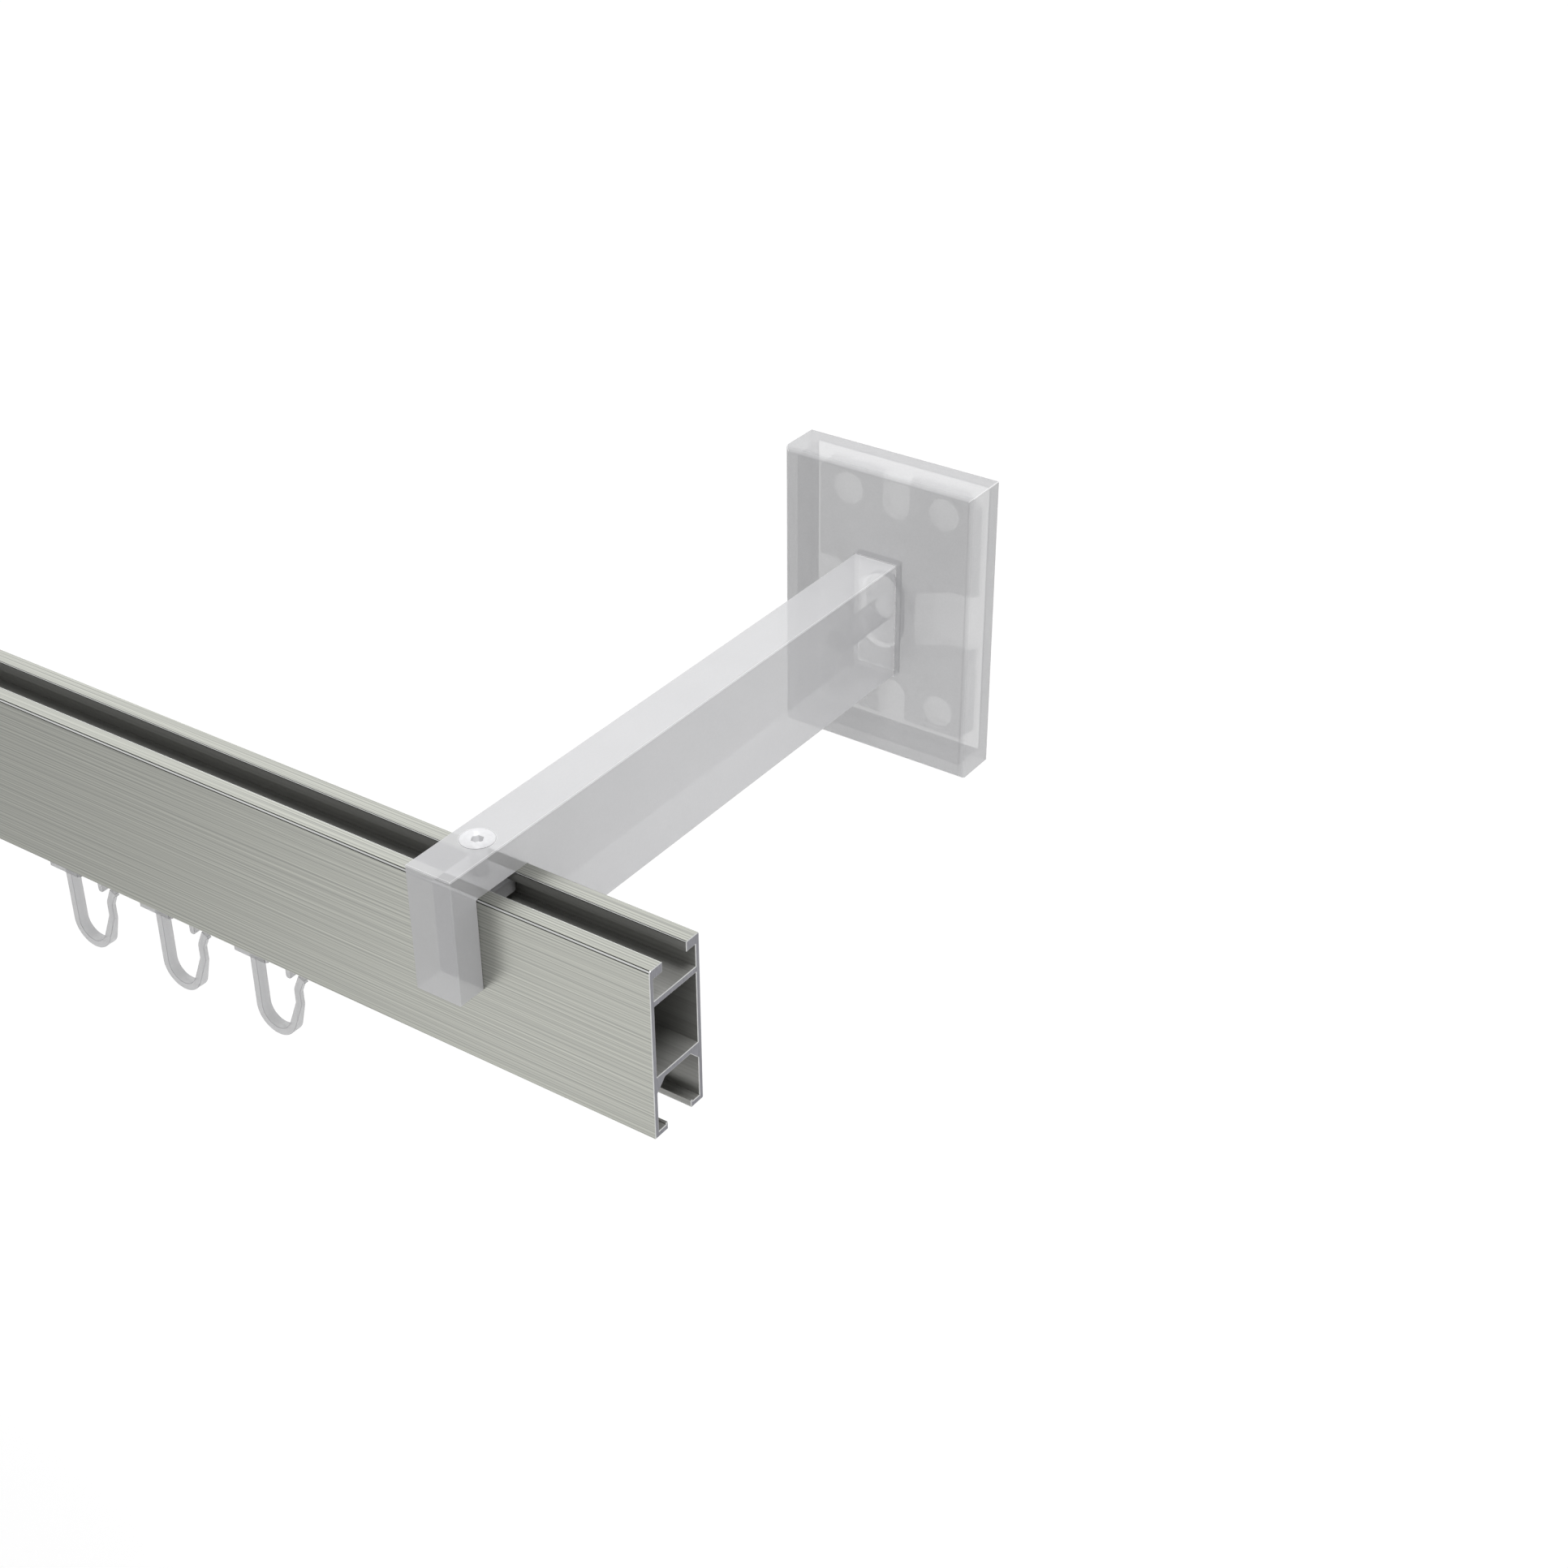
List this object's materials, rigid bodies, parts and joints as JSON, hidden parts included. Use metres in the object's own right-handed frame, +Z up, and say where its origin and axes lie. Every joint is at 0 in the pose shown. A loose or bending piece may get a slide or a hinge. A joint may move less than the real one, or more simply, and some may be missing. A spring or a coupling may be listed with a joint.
{
  "type": "curtain track",
  "caption": "Slim extruded curtain rail on bar brackets that stand off the wall, with sliding hook gliders below and covered wall plates.",
  "frame": {"origin": "centre of the right bracket's wall plate, on the wall", "axes": "+X along the rail to its right end as seen from the room, +Y into the wall, +Z up"},
  "size_m": [0.45, 0.148, 0.0847],
  "materials": {
    "rail_aluminium": "brushed and anodised",
    "clear_plastic": "milky and see-through, with a soft gloss",
    "screw_steel": "satin",
    "pale_nut": "pale and satin",
    "glider_plastic": "milky, with a soft gloss"
  },
  "bodies": {
    "frame": {"track_rail": "rail_aluminium", "right_arm": "clear_plastic", "right_wall_plate": "clear_plastic", "right_arm_screw": "clear_plastic", "right_arm_washer": "clear_plastic", "right_clamp_screw": "screw_steel", "right_slot_nut": "pale_nut", "left_arm": "clear_plastic", "left_wall_plate": "clear_plastic", "left_arm_screw": "clear_plastic", "left_arm_washer": "clear_plastic", "left_clamp_screw": "screw_steel", "left_slot_nut": "pale_nut"},
    "right_cover": {"right_cover": "clear_plastic"},
    "left_cover": {"left_cover": "clear_plastic"},
    "glider_1": {"glider_1": "glider_plastic"},
    "glider_2": {"glider_2": "glider_plastic"},
    "glider_3": {"glider_3": "glider_plastic"},
    "glider_4": {"glider_4": "glider_plastic"},
    "glider_5": {"glider_5": "glider_plastic"},
    "glider_6": {"glider_6": "glider_plastic"}
  },
  "joints": [
    {"name": "right_cover_slide", "type": "slide", "parent": "frame", "child": "right_cover", "axis": [0, -1, 0], "range_m": [0, 0.115]},
    {"name": "left_cover_slide", "type": "slide", "parent": "frame", "child": "left_cover", "axis": [0, -1, 0], "range_m": [0, 0.115]},
    {"name": "glider_1_slide", "type": "slide", "parent": "frame", "child": "glider_1", "axis": [1, 0, 0], "range_m": [-0.0044, 0.0862]},
    {"name": "glider_2_slide", "type": "slide", "parent": "frame", "child": "glider_2", "axis": [1, 0, 0], "range_m": [-0.0044, 0.0044]},
    {"name": "glider_3_slide", "type": "slide", "parent": "frame", "child": "glider_3", "axis": [1, 0, 0], "range_m": [-0.0209, 0.0044]},
    {"name": "glider_4_slide", "type": "slide", "parent": "frame", "child": "glider_4", "axis": [1, 0, 0], "range_m": [-0.0044, 0.0209]},
    {"name": "glider_5_slide", "type": "slide", "parent": "frame", "child": "glider_5", "axis": [1, 0, 0], "range_m": [-0.0044, 0.0044]},
    {"name": "glider_6_slide", "type": "slide", "parent": "frame", "child": "glider_6", "axis": [1, 0, 0], "range_m": [-0.1826, 0.0044]}
  ]
}
